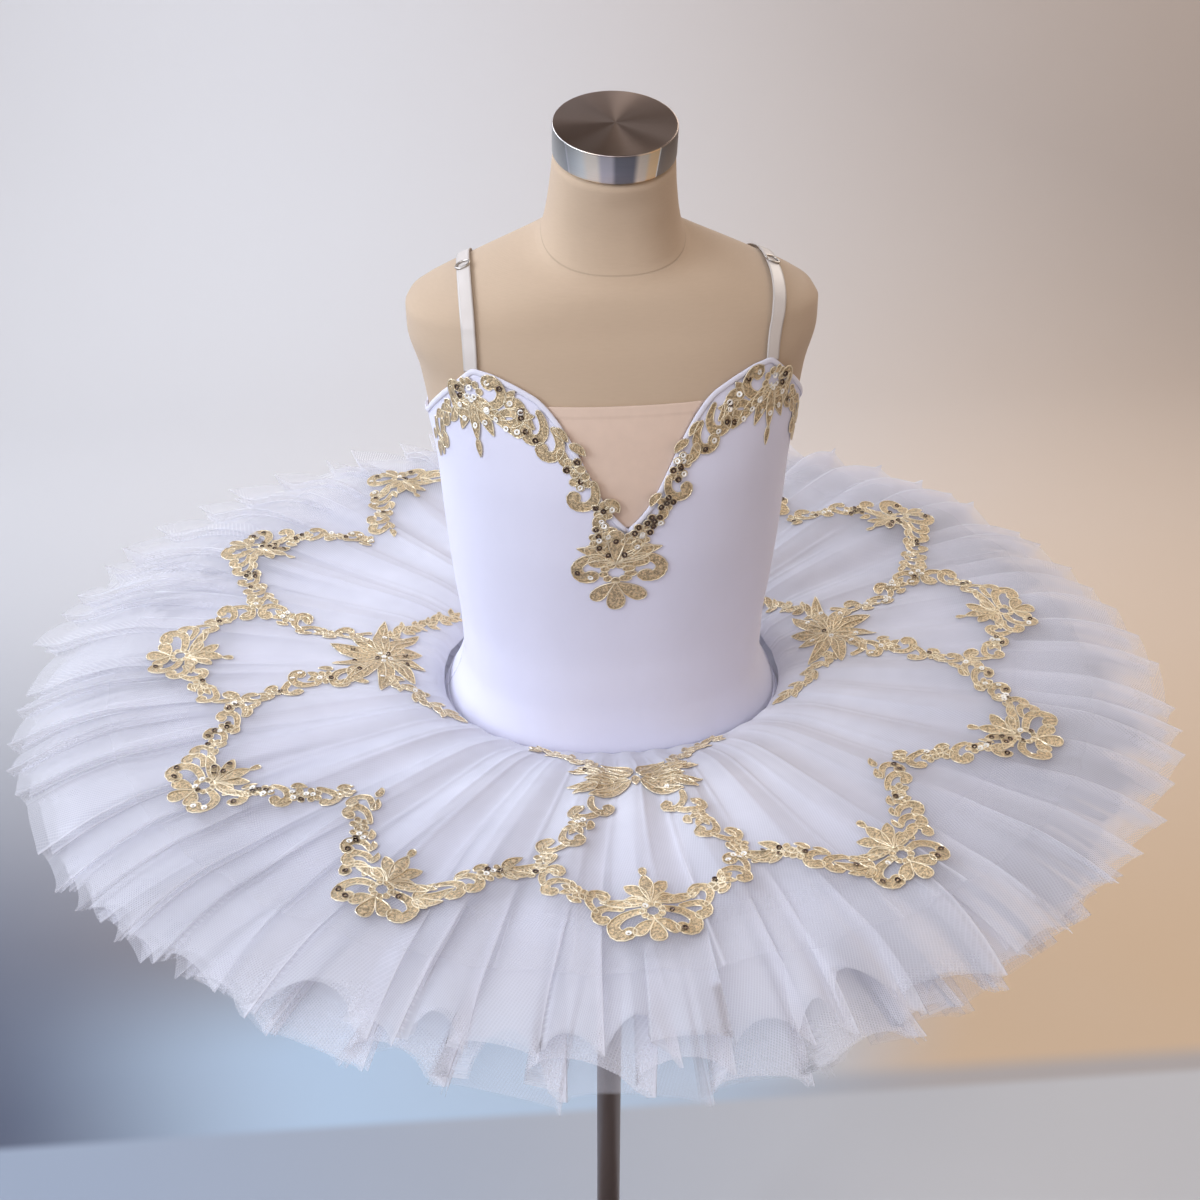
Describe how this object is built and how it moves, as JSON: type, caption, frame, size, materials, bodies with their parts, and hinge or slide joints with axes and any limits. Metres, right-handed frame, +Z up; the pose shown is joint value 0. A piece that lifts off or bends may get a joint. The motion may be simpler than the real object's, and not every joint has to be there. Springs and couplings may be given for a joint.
{
  "type": "ballet tutu on dress form",
  "caption": "Child's white ballet tutu, velvet bodice with a pleated net skirt and gold corded lace, worn by a limbless dress form on a pole stand.",
  "frame": {"origin": "centre of the base's flat underside, on the pole's axis", "axes": "+Z up along the pole, the tutu's front faces -Y, +X is towards the viewer's right when facing the front"},
  "size_m": [0.9265, 0.8734, 1.4457],
  "materials": {
    "linen": "natural linen over padding",
    "brushed_cap": "spun brushed",
    "dark_steel": "dark satin",
    "white_velvet": "stretch velvet",
    "skin_mesh": "matte stretch mesh",
    "white_piping": "smooth piping",
    "satin_elastic": "satin elastic",
    "strap_metal": "polished",
    "white_net": "stiff net",
    "gold_lace": "corded metallic lace with sequins"
  },
  "bodies": {
    "root": {"form_torso": "linen", "form_neck_cap": "brushed_cap", "form_collar": "dark_steel", "form_pole": "dark_steel", "form_base": "dark_steel", "bodice_front": "white_velvet", "bodice_back": "white_velvet", "brief_front": "white_velvet", "brief_back": "white_velvet", "brief_gusset": "white_velvet", "neckline_insert": "skin_mesh", "binding_left": "white_piping", "binding_right": "white_piping", "strap_left_front": "satin_elastic", "strap_left_back": "satin_elastic", "strap_right_front": "satin_elastic", "strap_right_back": "satin_elastic", "strap_ring_left": "strap_metal", "strap_ring_right": "strap_metal", "skirt_plate": "white_net", "ruffle_1": "white_net", "ruffle_2": "white_net", "ruffle_3": "white_net", "lace_flower_front": "gold_lace", "lace_flower_right": "gold_lace", "lace_flower_back": "gold_lace", "lace_flower_left": "gold_lace", "lace_small_front": "gold_lace", "lace_small_right": "gold_lace", "lace_small_back": "gold_lace", "lace_small_left": "gold_lace", "lace_large_1": "gold_lace", "lace_large_2": "gold_lace", "lace_large_3": "gold_lace", "lace_large_4": "gold_lace", "lace_large_5": "gold_lace", "lace_large_6": "gold_lace", "lace_large_7": "gold_lace", "lace_large_8": "gold_lace", "bodice_lace_left": "gold_lace", "bodice_lace_right": "gold_lace", "bodice_lace_pendant": "gold_lace"}
  },
  "joints": []
}
